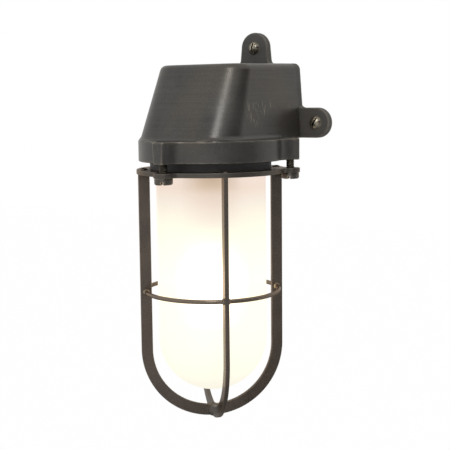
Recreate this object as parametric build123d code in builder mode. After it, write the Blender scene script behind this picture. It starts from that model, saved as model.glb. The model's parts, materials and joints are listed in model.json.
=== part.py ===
import os
from math import cos, radians, sin

from build123d import *

# Wall fixings, measured from the wall and from the line through the side fixing holes
axis_to_wall = 65.5
fixing_half_pitch = 52.0
top_fixing_rise = 55.6
fixing_hole_diameter = 5.5
lug_step = 1.0
top_lug_radius = 11.4
lug_thickness = 5.3
top_lug_root_width = 26.2
lug_root_fillet = 4.5

# Hood of the casting
hood_top_height = 43.5
crown_fall = 1.8
hood_top_half_width = 36.0
hood_base_half_width = 40.2
hood_top_front = 17.8
hood_setback = 6.0
hood_top_corner = 16.0
hood_base_corner = 23.5
hood_edge_radius = 5.0
hood_wall = 4.0
back_wall = 5.0
hood_floor = 4.0
skirt_fillet = 4.5
lug_inset = 0.6
lug_edge_radius = 1.2

# Rim of the casting and its three bosses
rim_drop = 10.0
rim_height = 15.0
rim_inset = 1.0
rim_bore_inset = 1.0
rim_edge_radius = 0.8
boss_edge_radius = 1.0
boss_count = 3
boss_reach = 11.9
boss_face_width = 8.8
boss_foot_width = 7.0
boss_spread = 12.0
boss_root_fillet = 13.0
tapped_depth = 12.5

# Cage screws
screw_offset = 5.4
screw_diameter = 6.0
screw_engagement = 10.5
screw_head_diameter = 12.5
screw_head_height = 4.5
screw_head_round = 1.6
screw_slot_width = 1.7
screw_slot_depth = 2.2
screw_clearance = 0.35
front_slot_angle = -64.0
right_slot_angle = -70.0
left_slot_angle = 35.0

# Seal between rim and cage flange
seal_back = 1.7
seal_leg = 1.5
seal_fit = 0.1

# Well glass
glass_gap = 5.0
glass_end_gap = 12.7
glass_wall = 3.0
glass_lip_reach = 2.4
glass_lip_thickness = 2.7
glass_lip_fillet = 0.8

# Cage of flat bar
flange_thickness = 3.3
flange_margin = 0.7
flange_edge_radius = 0.5
flange_bore_clearance = 1.0
tab_radius = 6.9
tab_root_fillet = 6.0
cage_radius = 52.0
cage_depth = 177.5
bar_width = 8.0
bar_thickness = 3.0
bar_edge_radius = 0.5
tenon_width = 4.5
tenon_rise = 0.8
tenon_chamfer = 0.5
tenon_fit = 0.1
waist_drop = 84.0
rod_diameter = 3.0
rod_fit = 0.15
rod_hole_chamfer = 0.4
lap_fit = 0.1
hoop_angle = 45.0

# Lampholder on a bridge across the rim
bridge_end_gap = 4.5
bridge_width = 16.0
bridge_thickness = 2.0
bridge_screw_inset = 5.0
bridge_screw_diameter = 4.0
bridge_screw_length = 9.0
bridge_screw_head_diameter = 8.0
bridge_screw_head_height = 2.6
pad_margin = 3.3
pad_width = 15.0
pad_height = 12.0
nipple_diameter = 10.0
nipple_bore = 7.0
nipple_depth = 7.0
nut_width = 14.0
nut_height = 4.0
nipple_rise = 2.0
thread_fit = 0.1
holder_radius = 20.0
holder_height = 40.0
holder_roof = 12.0
holder_cavity_radius = 14.2
holder_shoulder = 5.0
shell_wall = 0.6
shell_height = 22.0
contact_width = 7.0
contact_height = 3.5

# Lamp with screw cap
lamp_radius = 30.0
lamp_length = 106.0
lamp_neck_radius = 12.4
lamp_neck_blend = 26.0
lamp_shoulder_angle = 40.0
lamp_glass_wall = 1.0
cap_radius = 13.1
cap_wall = 0.5
cap_height = 22.0
cap_fit = 0.35
insulator_height = 3.0
insulator_radius = 11.0
tip_radius = 4.5
tip_height = 1.5

# Cable entry and wiring
entry_drop = 16.5
entry_hole_diameter = 16.0
grommet_flange_diameter = 21.0
grommet_flange_thickness = 2.0
grommet_bore = 9.0
grommet_fit = 0.15
block_width = 28.0
block_depth = 13.0
block_height = 13.0
block_corner = 1.5
block_level = -1.0
block_pole_half_pitch = 8.5
block_screw_diameter = 3.0
block_screw_length = 4.0
block_screw_head_diameter = 5.6
block_screw_head_height = 2.2
terminal_screw_diameter = 4.0
terminal_screw_depth = 5.0
lead_diameter = 2.0
lead_fit = 0.1
lead_grip = 5.0
lead_bend = 3.2
lead_half_spread = 1.5
lead_dip = 4.0
lead_rise = 9.0
earth_offset = 25.0
earth_boss_diameter = 10.0
earth_boss_height = 3.0
earth_screw_diameter = 4.0
earth_screw_length = 5.0
earth_screw_head_diameter = 8.0
earth_screw_head_height = 2.8

# Radii that follow from the cage
rim_radius = cage_radius - rim_inset
flange_radius = cage_radius + flange_margin
bar_middle_radius = cage_radius - bar_width / 2
screw_circle = rim_radius + screw_offset
hood_base_front = rim_radius - hood_setback
glass_radius = cage_radius - bar_width - glass_gap
flange_bore_radius = glass_radius + flange_bore_clearance
lip_radius = glass_radius + glass_lip_reach
seal_radius = lip_radius + seal_back
rim_bore_radius = glass_radius - rim_bore_inset
bridge_half_length = rim_bore_radius - bridge_end_gap
bridge_screw_half_pitch = bridge_half_length - bridge_screw_inset

# Levels down the lamp axis, from the fixing holes
rim_top = -rim_drop
lug_radius = rim_drop + lug_step
rim_bottom = rim_top - rim_height
seal_height = 2 * seal_leg + glass_lip_thickness
flange_top = rim_bottom - seal_height
flange_bottom = flange_top - flange_thickness
floor_bottom = -lug_radius
floor_top = floor_bottom + hood_floor
lip_bottom = flange_top + seal_leg
lip_top = lip_bottom + glass_lip_thickness
cage_bottom = flange_bottom - cage_depth
glass_bottom = cage_bottom + bar_width + glass_end_gap
glass_centre = glass_bottom + glass_radius
bow_centre = cage_bottom + cage_radius
waist_level = flange_bottom - waist_drop
bridge_top = rim_top
bridge_bottom = bridge_top - bridge_thickness
holder_top = bridge_bottom
holder_bottom = holder_top - holder_height
contact_face = holder_top - holder_roof - contact_height
lamp_tip = contact_face - lamp_length
insulator_bottom = contact_face - tip_height - insulator_height
cap_bottom = insulator_bottom - cap_height
nipple_top = bridge_top + nut_height + nipple_rise
nipple_bottom = holder_top - nipple_depth

# Places of the wiring, the sloping crown, and the planes through the lamp axis
entry_height = hood_top_height - entry_drop
block_middle = block_level + block_height / 2
block_front = back_wall + block_depth
lead_entry = back_wall + (block_depth - terminal_screw_depth) / 2
crown_slope = crown_fall / (axis_to_wall + hood_top_front)
crown_plane = Plane((0, 0, hood_top_height), x_dir=(1, 0, 0), z_dir=(0, -crown_slope, 1))
lamp_axis = Axis((0, -axis_to_wall, 0), (0, 0, 1))
lamp_section = Plane((0, -axis_to_wall, 0), x_dir=(1, 0, 0), z_dir=(0, -1, 0))


def level_plane(level):
    return Plane((0, -axis_to_wall, level), x_dir=(1, 0, 0), z_dir=(0, 0, 1))


def radial_plane(angle):
    across = (cos(radians(angle)), sin(radians(angle)), 0)
    facing = (sin(radians(angle)), -cos(radians(angle)), 0)
    return Plane((0, -axis_to_wall, 0), x_dir=across, z_dir=facing)


def hood_outline(level, half_width, front, corner, back):
    with BuildSketch(Plane.XY.offset(level)) as outline:
        with BuildLine():
            Polyline(
                (-half_width, -back),
                (-half_width, -axis_to_wall - front),
                (half_width, -axis_to_wall - front),
                (half_width, -back),
                close=True,
            )
        make_face()
        fillet(outline.vertices().group_by(Axis.Y)[0], corner)
    return outline.sketch


def trapezium(level, inner_width, outer_width, outer_reach):
    # Plan of one boss at the front of the rim, from the lamp axis outwards
    with BuildSketch(level_plane(level)) as outline:
        with BuildLine():
            Polyline(
                (-inner_width / 2, 0),
                (-outer_width / 2, -outer_reach),
                (outer_width / 2, -outer_reach),
                (inner_width / 2, 0),
                close=True,
            )
        make_face()
    return outline.sketch


def cage_screw(place_angle, slot_angle):
    # Slotted screw, head under the flange tab and shank up in the boss
    with BuildPart() as screw:
        with BuildSketch(level_plane(flange_bottom)):
            Circle(screw_head_diameter / 2)
        extrude(amount=-screw_head_height)
        fillet(screw.edges().group_by(Axis.Z)[0], screw_head_round)
        with BuildSketch(level_plane(flange_bottom - screw_head_height)) as slot:
            Rectangle(2 * screw_head_diameter, screw_slot_width, rotation=slot_angle)
        extrude(amount=screw_slot_depth, mode=Mode.SUBTRACT)
        with BuildSketch(level_plane(flange_bottom)):
            Circle(screw_diameter / 2)
        extrude(amount=flange_thickness + seal_height + screw_engagement)
    step = Vector(screw_circle, 0, 0).rotate(Axis.Z, place_angle)
    return screw.part.moved(Location(step))


# Cast hood, tapering from the floor up to a crown that falls to the front, with a flat back on the wall
with BuildPart() as hood:
    loft(
        sections=[
            hood_outline(floor_bottom, hood_base_half_width, hood_base_front, hood_base_corner, 0),
            hood_outline(hood_top_height, hood_top_half_width, hood_top_front, hood_top_corner, 0),
        ],
        ruled=True,
    )
    split(bisect_by=crown_plane, keep=Keep.BOTTOM)
    crown = hood.faces().sort_by(Axis.Z)[-1]
    fillet(crown.edges().filter_by(lambda e: e.center().Y < -lug_thickness), hood_edge_radius)

# Hollow of the hood above its floor
with BuildPart() as cavity:
    loft(
        sections=[
            hood_outline(
                floor_top,
                hood_base_half_width - hood_wall,
                hood_base_front - hood_wall,
                hood_base_corner - hood_wall,
                back_wall,
            ),
            hood_outline(
                hood_top_height - hood_wall,
                hood_top_half_width - hood_wall,
                hood_top_front - hood_wall,
                hood_top_corner - hood_wall,
                back_wall,
            ),
        ],
        ruled=True,
    )
    split(bisect_by=crown_plane.offset(-hood_wall), keep=Keep.BOTTOM)

# Foot of the hood, running out in a fillet on the round ledge of the rim
with BuildPart() as hood_foot:
    add(hood.part)
    ledge_width = 2 * (hood_base_half_width + 3 * skirt_fillet)
    ledge_depth = axis_to_wall + hood_base_front + 3 * skirt_fillet
    with BuildSketch(Plane.XY.offset(rim_top)):
        with Locations((0, -ledge_depth / 2)):
            Rectangle(ledge_width, ledge_depth)
    extrude(amount=-hood_floor)
    ledge_edges = hood_foot.edges().filter_by_position(Axis.Z, rim_top - 0.01, rim_top + 0.01)
    foot_edges = ledge_edges.filter_by(
        lambda e: abs(e.center().X) < hood_base_half_width + skirt_fillet
        and -e.center().Y < axis_to_wall + hood_base_front + skirt_fillet
        and -e.center().Y > lug_thickness
    )
    fillet(foot_edges, skirt_fillet)
    with Locations((0, -axis_to_wall, rim_top - hood_floor)):
        Cylinder(
            rim_radius - rim_edge_radius,
            hood_floor + 2 * skirt_fillet,
            align=(Align.CENTER, Align.CENTER, Align.MIN),
            mode=Mode.INTERSECT,
        )

# Front boss of the rim, drafted towards its lower end
with BuildPart() as boss:
    loft(
        sections=[
            trapezium(rim_bottom, boss_foot_width + 2 * boss_spread, boss_foot_width, rim_radius + boss_reach),
            trapezium(rim_top, boss_face_width + 2 * boss_spread, boss_face_width, rim_radius + boss_reach),
        ],
        ruled=True,
    )

# Round rim with its bosses
with BuildPart() as rim:
    with BuildSketch(level_plane(rim_bottom)):
        Circle(rim_radius)
    extrude(amount=rim_height)
    for turn in range(boss_count):
        add(boss.part.rotate(lamp_axis, turn * 360 / boss_count))
    rim_middle = (rim_bottom + rim_top) / 2
    upright_edges = rim.edges().filter_by_position(Axis.Z, rim_middle - 1, rim_middle + 1)
    boss_roots = upright_edges.filter_by(
        lambda e: abs((e.center() - Vector(0, -axis_to_wall, rim_middle)).length - rim_radius) < 0.5
    )
    fillet(boss_roots, boss_root_fillet)
    boss_corners = rim.edges().filter_by_position(Axis.Z, rim_middle - 1, rim_middle + 1).filter_by(
        lambda e: (e.center() - Vector(0, -axis_to_wall, rim_middle)).length > rim_radius + boss_reach - 1
    )
    fillet(boss_corners, boss_edge_radius)
    fillet(rim.edges().group_by(Axis.Z)[-1] + rim.edges().group_by(Axis.Z)[0], rim_edge_radius)

# Plate of the three fixing lugs against the wall, its front edges rounded
with BuildPart() as lug_plate:
    with BuildSketch(Plane.XZ) as lugs:
        base_x = hood_base_half_width - lug_inset
        top_x = hood_top_half_width - lug_inset
        with BuildLine():
            Polyline(
                (-base_x, floor_bottom),
                (base_x, floor_bottom),
                (top_x, hood_top_height - lug_inset),
                (-top_x, hood_top_height - lug_inset),
                close=True,
            )
        make_face()
        chamfer(lugs.vertices().group_by(Axis.Y)[-1], 1.2 * hood_edge_radius)
        with BuildLine():
            Polyline(
                (-top_lug_root_width / 2, hood_top_height - hood_edge_radius),
                (-top_lug_radius, top_fixing_rise),
                (top_lug_radius, top_fixing_rise),
                (top_lug_root_width / 2, hood_top_height - hood_edge_radius),
                close=True,
            )
        make_face()
        Rectangle(2 * fixing_half_pitch, 2 * lug_radius)
        with Locations((-fixing_half_pitch, 0), (fixing_half_pitch, 0)):
            Circle(lug_radius)
        with Locations((0, top_fixing_rise)):
            Circle(top_lug_radius)
        corners = lugs.vertices()
        side_roots = corners.filter_by(
            lambda v: abs(v.Y - lug_radius) < 0.01 and abs(v.X) < hood_base_half_width
        )
        crown_roots = corners.filter_by(
            lambda v: abs(v.Y - hood_top_height + lug_inset) < 0.01 and abs(v.X) < top_lug_root_width / 2
        )
        fillet(side_roots + crown_roots, lug_root_fillet)
    extrude(amount=lug_thickness)
    fillet(lug_plate.faces().sort_by(Axis.Y)[0].edges(), lug_edge_radius)

# One casting: hood, foot, rim and lugs, hollow inside and open at the rim
with BuildPart() as housing:
    add(hood.part)
    add(hood_foot.part)
    add(rim.part)
    add(lug_plate.part)
    add(cavity.part, mode=Mode.SUBTRACT)
    with BuildSketch(level_plane(rim_bottom)):
        Circle(rim_bore_radius)
    extrude(amount=floor_top - rim_bottom, mode=Mode.SUBTRACT)
    with BuildSketch(level_plane(rim_bottom)):
        with PolarLocations(screw_circle, boss_count, start_angle=-90):
            Circle(screw_diameter / 2 + screw_clearance)
    extrude(amount=tapped_depth, mode=Mode.SUBTRACT)
    with BuildSketch(Plane.XZ):
        with Locations((-fixing_half_pitch, 0), (fixing_half_pitch, 0), (0, top_fixing_rise)):
            Circle(fixing_hole_diameter / 2)
    extrude(amount=lug_thickness, mode=Mode.SUBTRACT)
    with BuildSketch(Plane.XZ):
        with Locations((0, entry_height)):
            Circle(entry_hole_diameter / 2)
    extrude(amount=back_wall, mode=Mode.SUBTRACT)
    with BuildSketch(Plane.XZ):
        with Locations((0, entry_height)):
            Circle(grommet_flange_diameter / 2 + grommet_fit)
    extrude(amount=grommet_flange_thickness, mode=Mode.SUBTRACT)
    # Pads for the lampholder bridge, on the side walls
    with BuildSketch(Plane.XY.offset(bridge_top)):
        pad_inner = bridge_screw_half_pitch - pad_margin
        pad_outer = hood_base_half_width - hood_wall / 2
        pad_middle = (pad_inner + pad_outer) / 2
        with Locations((-pad_middle, -axis_to_wall), (pad_middle, -axis_to_wall)):
            Rectangle(pad_outer - pad_inner, pad_width)
    extrude(amount=pad_height)
    with BuildSketch(Plane.XY.offset(bridge_top)):
        with Locations((-bridge_screw_half_pitch, -axis_to_wall), (bridge_screw_half_pitch, -axis_to_wall)):
            Circle(bridge_screw_diameter / 2 + thread_fit)
    extrude(amount=bridge_screw_length, mode=Mode.SUBTRACT)
    # Earth boss and the fixing hole of the terminal block, on the back wall
    with BuildSketch(Plane.XZ.offset(back_wall)):
        with Locations((earth_offset, block_middle)):
            Circle(earth_boss_diameter / 2)
    extrude(amount=earth_boss_height)
    with BuildSketch(Plane.XZ.offset(back_wall + earth_boss_height)):
        with Locations((earth_offset, block_middle)):
            Circle(earth_screw_diameter / 2 + thread_fit)
    extrude(amount=-earth_screw_length, mode=Mode.SUBTRACT)
    with BuildSketch(Plane.XZ.offset(back_wall)):
        with Locations((0, block_middle)):
            Circle(block_screw_diameter / 2 + thread_fit)
    extrude(amount=-block_screw_length, mode=Mode.SUBTRACT)
housing.part.label = "housing"

# Rubber grommet in the cable entry, flush with the wall
with BuildPart() as cable_grommet:
    grommet_depth = back_wall + grommet_flange_thickness
    with BuildSketch(Plane.XZ):
        with Locations((0, entry_height)):
            Circle(entry_hole_diameter / 2 - grommet_fit)
    extrude(amount=grommet_depth)
    with BuildSketch(Plane.XZ, Plane.XZ.offset(back_wall)):
        with Locations((0, entry_height)):
            Circle(grommet_flange_diameter / 2)
    extrude(amount=grommet_flange_thickness)
    with BuildSketch(Plane.XZ):
        with Locations((0, entry_height)):
            Circle(grommet_bore / 2)
    extrude(amount=grommet_depth, mode=Mode.SUBTRACT)
cable_grommet.part.label = "cable_grommet"

# Terminal block on the back wall, a pole either side of its fixing screw
with BuildPart() as terminal_block:
    with BuildSketch(Plane.XZ.offset(back_wall)):
        with Locations((0, block_middle)):
            RectangleRounded(block_width, block_height, block_corner)
    extrude(amount=block_depth)
    with BuildSketch(Plane.XZ.offset(block_front)):
        with Locations((-block_pole_half_pitch, block_middle), (block_pole_half_pitch, block_middle)):
            Circle(terminal_screw_diameter / 2 + thread_fit)
    extrude(amount=-terminal_screw_depth, mode=Mode.SUBTRACT)
    with BuildSketch(Plane.XY.offset(block_level)):
        with Locations((-block_pole_half_pitch, -lead_entry), (block_pole_half_pitch, -lead_entry)):
            Circle(lead_diameter / 2 + lead_fit)
    extrude(amount=block_height, mode=Mode.SUBTRACT)
    with BuildSketch(Plane.XZ.offset(back_wall)):
        with Locations((0, block_middle)):
            Circle(block_screw_diameter / 2 + thread_fit)
    extrude(amount=block_depth, mode=Mode.SUBTRACT)
    with BuildSketch(Plane.XZ.offset(block_front)):
        with Locations((0, block_middle)):
            Circle(block_screw_head_diameter / 2 + thread_fit)
    extrude(amount=-block_screw_head_height, mode=Mode.SUBTRACT)
terminal_block.part.label = "terminal_block"

with BuildPart() as block_screw:
    with BuildSketch(Plane.XZ.offset(block_front)):
        with Locations((0, block_middle)):
            Circle(block_screw_head_diameter / 2)
    extrude(amount=-block_screw_head_height)
    with BuildSketch(Plane.XZ.offset(block_front - block_screw_head_height)):
        with Locations((0, block_middle)):
            Circle(block_screw_diameter / 2)
    extrude(amount=-(block_depth - block_screw_head_height + block_screw_length))
block_screw.part.label = "block_screw"

with BuildPart() as terminal_screw_live:
    with BuildSketch(Plane.XZ.offset(block_front - terminal_screw_depth)):
        with Locations((-block_pole_half_pitch, block_middle)):
            Circle(terminal_screw_diameter / 2)
    extrude(amount=terminal_screw_depth)
terminal_screw_live.part.label = "terminal_screw_live"

with BuildPart() as terminal_screw_neutral:
    add(mirror(terminal_screw_live.part, about=Plane.YZ))
terminal_screw_neutral.part.label = "terminal_screw_neutral"

# Earth screw on its boss
with BuildPart() as earth_screw:
    with BuildSketch(Plane.XZ.offset(back_wall + earth_boss_height)):
        with Locations((earth_offset, block_middle)):
            Circle(earth_screw_head_diameter / 2)
    extrude(amount=earth_screw_head_height)
    with BuildSketch(Plane.XZ.offset(back_wall + earth_boss_height)):
        with Locations((earth_offset, block_middle)):
            Circle(earth_screw_diameter / 2)
    extrude(amount=-earth_screw_length)
earth_screw.part.label = "earth_screw"

# Leads from the terminal block over and down into the hollow nipple
with BuildPart() as live_lead:
    with BuildLine() as live_route:
        FilletPolyline(
            (-block_pole_half_pitch, -lead_entry, block_level + lead_grip),
            (-block_pole_half_pitch, -lead_entry, block_level - lead_dip),
            (-lead_half_spread, -axis_to_wall, nipple_top + lead_rise),
            (-lead_half_spread, -axis_to_wall, nipple_bottom),
            radius=lead_bend,
        )
    with BuildSketch(Plane(live_route.line @ 0, z_dir=live_route.line % 0)):
        Circle(lead_diameter / 2)
    sweep()
live_lead.part.label = "live_lead"

with BuildPart() as neutral_lead:
    add(mirror(live_lead.part, about=Plane.YZ))
neutral_lead.part.label = "neutral_lead"

# Bridge strap under the pads, and its two screws
with BuildPart() as lamp_bridge:
    with BuildSketch(level_plane(bridge_bottom)):
        SlotOverall(2 * bridge_half_length, bridge_width)
        Circle(nipple_diameter / 2 + thread_fit, mode=Mode.SUBTRACT)
        with Locations((-bridge_screw_half_pitch, 0), (bridge_screw_half_pitch, 0)):
            Circle(bridge_screw_diameter / 2 + thread_fit, mode=Mode.SUBTRACT)
    extrude(amount=bridge_thickness)
lamp_bridge.part.label = "lamp_bridge"

with BuildPart() as bridge_screw_right:
    with BuildSketch(level_plane(bridge_bottom)):
        with Locations((bridge_screw_half_pitch, 0)):
            Circle(bridge_screw_head_diameter / 2)
    extrude(amount=-bridge_screw_head_height)
    with BuildSketch(level_plane(bridge_bottom)):
        with Locations((bridge_screw_half_pitch, 0)):
            Circle(bridge_screw_diameter / 2)
    extrude(amount=bridge_thickness + bridge_screw_length)
bridge_screw_right.part.label = "bridge_screw_right"

with BuildPart() as bridge_screw_left:
    add(mirror(bridge_screw_right.part, about=Plane.YZ))
bridge_screw_left.part.label = "bridge_screw_left"

# Lampholder: hollow nipple, locknut, porcelain body, threaded shell and centre contact
with BuildPart() as lampholder_nipple:
    with BuildSketch(level_plane(nipple_bottom)):
        Circle(nipple_diameter / 2)
        Circle(nipple_bore / 2, mode=Mode.SUBTRACT)
    extrude(amount=nipple_top - nipple_bottom)
lampholder_nipple.part.label = "lampholder_nipple"

with BuildPart() as lampholder_nut:
    with BuildSketch(level_plane(bridge_top)):
        RegularPolygon(nut_width / 2, 6, major_radius=False)
        Circle(nipple_diameter / 2 + thread_fit, mode=Mode.SUBTRACT)
    extrude(amount=nut_height)
lampholder_nut.part.label = "lampholder_nut"

with BuildPart() as lampholder_body:
    with BuildSketch(lamp_section):
        with BuildLine():
            Polyline(
                (0, holder_top),
                (holder_radius - holder_shoulder, holder_top),
                (holder_radius, holder_top - holder_shoulder),
                (holder_radius, holder_bottom),
                (holder_cavity_radius, holder_bottom),
                (holder_cavity_radius, holder_top - holder_roof),
                (0, holder_top - holder_roof),
                close=True,
            )
        make_face()
    revolve(axis=lamp_axis)
    with BuildSketch(level_plane(nipple_bottom)):
        Circle(nipple_diameter / 2 + thread_fit)
    extrude(amount=nipple_depth, mode=Mode.SUBTRACT)
lampholder_body.part.label = "lampholder_body"

with BuildPart() as lampholder_shell:
    with BuildSketch(level_plane(holder_top - holder_roof)):
        Circle(cap_radius + cap_fit + shell_wall)
        Circle(cap_radius + cap_fit, mode=Mode.SUBTRACT)
    extrude(amount=-shell_height)
lampholder_shell.part.label = "lampholder_shell"

with BuildPart() as lampholder_contact:
    with BuildSketch(level_plane(holder_top - holder_roof)):
        Circle(contact_width / 2)
    extrude(amount=-contact_height)
lampholder_contact.part.label = "lampholder_contact"

# Lamp: pear-shaped bulb, screw cap, insulator and centre tip
with BuildPart() as lamp_glass:
    with BuildSketch(lamp_section):
        lamp_centre = lamp_tip + lamp_radius
        shoulder_x = lamp_radius * cos(radians(lamp_shoulder_angle))
        shoulder_z = lamp_centre + lamp_radius * sin(radians(lamp_shoulder_angle))
        neck_foot = shoulder_z + (shoulder_x - lamp_neck_radius) / (
            sin(radians(lamp_shoulder_angle)) / cos(radians(lamp_shoulder_angle))
        )
        with BuildLine() as bulb_side:
            ThreePointArc((0, lamp_tip), (lamp_radius, lamp_centre), (shoulder_x, shoulder_z))
            FilletPolyline(
                (shoulder_x, shoulder_z),
                (lamp_neck_radius, neck_foot),
                (lamp_neck_radius, insulator_bottom - cap_wall),
                radius=lamp_neck_blend,
            )
            Line((lamp_neck_radius, insulator_bottom - cap_wall), (0, insulator_bottom - cap_wall))
            Line((0, insulator_bottom - cap_wall), (0, lamp_tip))
        make_face()
    revolve(axis=lamp_axis)
    offset(amount=-lamp_glass_wall, openings=lamp_glass.faces().sort_by(Axis.Z)[-1])
lamp_glass.part.label = "lamp_glass"

with BuildPart() as lamp_cap:
    with BuildSketch(level_plane(insulator_bottom)):
        Circle(cap_radius)
    extrude(amount=-cap_height)
    with BuildSketch(level_plane(cap_bottom)):
        Circle(lamp_neck_radius + thread_fit)
    extrude(amount=cap_height - cap_wall, mode=Mode.SUBTRACT)
lamp_cap.part.label = "lamp_cap"

with BuildPart() as lamp_insulator:
    with BuildSketch(level_plane(insulator_bottom)) as insulator_foot:
        Circle(insulator_radius)
    with BuildSketch(level_plane(insulator_bottom + insulator_height)) as insulator_head:
        Circle(tip_radius)
    loft()
lamp_insulator.part.label = "lamp_insulator"

with BuildPart() as lamp_contact:
    with BuildSketch(level_plane(contact_face)):
        Circle(tip_radius)
    extrude(amount=-tip_height)
lamp_contact.part.label = "lamp_contact"

# Rubber seal wrapped round the lip of the glass
with BuildPart() as glass_seal:
    with BuildSketch(lamp_section):
        with BuildLine():
            Polyline(
                (flange_bore_radius, flange_top),
                (seal_radius, flange_top),
                (seal_radius, rim_bottom),
                (flange_bore_radius, rim_bottom),
                (flange_bore_radius, lip_top),
                (lip_radius + seal_fit, lip_top),
                (lip_radius + seal_fit, lip_bottom),
                (flange_bore_radius, lip_bottom),
                close=True,
            )
        make_face()
    revolve(axis=lamp_axis)
glass_seal.part.label = "glass_seal"

# Well glass: a jar with a flanged lip and a round end
with BuildPart() as well_glass:
    with BuildSketch(lamp_section) as jar:
        inner_radius = glass_radius - glass_wall
        slant = sin(radians(45))
        with BuildLine():
            Polyline(
                (inner_radius, glass_centre),
                (inner_radius, lip_top),
                (lip_radius, lip_top),
                (lip_radius, lip_bottom),
                (glass_radius, lip_bottom),
                (glass_radius, glass_centre),
            )
            ThreePointArc(
                (glass_radius, glass_centre),
                (glass_radius * slant, glass_centre - glass_radius * slant),
                (0, glass_bottom),
            )
            Line((0, glass_bottom), (0, glass_bottom + glass_wall))
            ThreePointArc(
                (0, glass_bottom + glass_wall),
                (inner_radius * slant, glass_centre - inner_radius * slant),
                (inner_radius, glass_centre),
            )
        make_face()
        lip_root = jar.vertices().filter_by(lambda v: abs(v.Y - lip_bottom) < 0.01).sort_by(Axis.X)[0]
        fillet(lip_root, glass_lip_fillet)
    revolve(axis=lamp_axis)
well_glass.part.label = "well_glass"

# Cage flange: flat ring with three tabs, slots for the bar tenons and screw holes
with BuildPart() as cage_flange:
    with BuildSketch(level_plane(flange_bottom)) as ring:
        Circle(flange_radius)
        with PolarLocations(screw_circle, boss_count, start_angle=-90):
            Circle(tab_radius)
        tab_roots = ring.vertices().filter_by(lambda v: abs(Vector(v.X, v.Y).length - flange_radius) < 0.01)
        fillet(tab_roots, tab_root_fillet)
        Circle(flange_bore_radius, mode=Mode.SUBTRACT)
        with PolarLocations(screw_circle, boss_count, start_angle=-90):
            Circle(screw_diameter / 2 + screw_clearance, mode=Mode.SUBTRACT)
        with PolarLocations(bar_middle_radius, 4, start_angle=hoop_angle):
            Rectangle(tenon_width + 2 * tenon_fit, bar_thickness + 2 * tenon_fit, mode=Mode.SUBTRACT)
    extrude(amount=flange_thickness)
    rims = [face.outer_wire().edges() for face in cage_flange.faces().filter_by(Axis.Z)]
    fillet(rims[0] + rims[1], flange_edge_radius)
cage_flange.part.label = "cage_flange"

# Flat-bar hoops, tenoned in the flange, half-lapped at the bottom and drilled for the rod
with BuildPart() as cage_hoop_over:
    with BuildSketch(radial_plane(hoop_angle)) as hoop:
        inner_bow = cage_radius - bar_width
        with BuildLine():
            Line((-cage_radius, flange_bottom), (-cage_radius, bow_centre))
            ThreePointArc((-cage_radius, bow_centre), (0, cage_bottom), (cage_radius, bow_centre))
            Polyline(
                (cage_radius, bow_centre),
                (cage_radius, flange_bottom),
                (inner_bow, flange_bottom),
                (inner_bow, bow_centre),
            )
            ThreePointArc((inner_bow, bow_centre), (0, cage_bottom + bar_width), (-inner_bow, bow_centre))
            Polyline((-inner_bow, bow_centre), (-inner_bow, flange_bottom), (-cage_radius, flange_bottom))
        make_face()
        tenon_height = flange_thickness + tenon_rise
        tenon_middle = flange_bottom + tenon_height / 2
        with Locations((-bar_middle_radius, tenon_middle), (bar_middle_radius, tenon_middle)):
            Rectangle(tenon_width, tenon_height)
        with Locations((-bar_middle_radius, waist_level), (bar_middle_radius, waist_level)):
            Circle(rod_diameter / 2 + rod_fit, mode=Mode.SUBTRACT)
    extrude(amount=bar_thickness / 2, both=True)
    flats = cage_hoop_over.faces().filter_by(Axis((0, 0, 0), radial_plane(hoop_angle).z_dir))
    long_edges = flats.edges().filter_by(lambda e: e.length > 1.5 * bar_width)
    rod_holes = flats.edges().filter_by(GeomType.CIRCLE).filter_by(lambda e: e.radius < rod_diameter)
    fillet(long_edges, bar_edge_radius)
    chamfer(rod_holes, rod_hole_chamfer)
    chamfer(cage_hoop_over.faces().group_by(Axis.Z)[-1].edges(), tenon_chamfer)
    plain_hoop = cage_hoop_over.part
    with BuildSketch(radial_plane(hoop_angle)):
        with Locations((0, cage_bottom)):
            Rectangle(bar_thickness + 2 * lap_fit, bar_width)
    extrude(amount=bar_thickness, both=True, mode=Mode.SUBTRACT)
cage_hoop_over.part.label = "cage_hoop_over"

with BuildPart() as cage_hoop_under:
    add(plain_hoop.rotate(lamp_axis, 90))
    with BuildSketch(radial_plane(hoop_angle + 90)):
        with Locations((0, cage_bottom + bar_width)):
            Rectangle(bar_thickness + 2 * lap_fit, bar_width)
    extrude(amount=bar_thickness, both=True, mode=Mode.SUBTRACT)
cage_hoop_under.part.label = "cage_hoop_under"

# Round rod threaded through the four uprights
with BuildPart() as waist_ring:
    with BuildSketch(lamp_section):
        with Locations((bar_middle_radius, waist_level)):
            Circle(rod_diameter / 2)
    revolve(axis=lamp_axis)
waist_ring.part.label = "waist_ring"

# Three slotted cage screws
with BuildPart() as cage_screw_front:
    add(cage_screw(-90, front_slot_angle))
cage_screw_front.part.label = "cage_screw_front"

with BuildPart() as cage_screw_right:
    add(cage_screw(-90 + 360 / boss_count, right_slot_angle))
cage_screw_right.part.label = "cage_screw_right"

with BuildPart() as cage_screw_left:
    add(cage_screw(-90 - 360 / boss_count, left_slot_angle))
cage_screw_left.part.label = "cage_screw_left"

pieces = [
    housing,
    cable_grommet,
    terminal_block,
    block_screw,
    terminal_screw_live,
    terminal_screw_neutral,
    earth_screw,
    live_lead,
    neutral_lead,
    lamp_bridge,
    bridge_screw_right,
    bridge_screw_left,
    lampholder_nipple,
    lampholder_nut,
    lampholder_body,
    lampholder_shell,
    lampholder_contact,
    lamp_glass,
    lamp_cap,
    lamp_insulator,
    lamp_contact,
    glass_seal,
    well_glass,
    cage_flange,
    cage_hoop_over,
    cage_hoop_under,
    waist_ring,
    cage_screw_front,
    cage_screw_right,
    cage_screw_left,
]
os.makedirs("parts", exist_ok=True)
for piece in pieces:
    export_step(piece.part, f"parts/{piece.part.label}.step")
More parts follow.
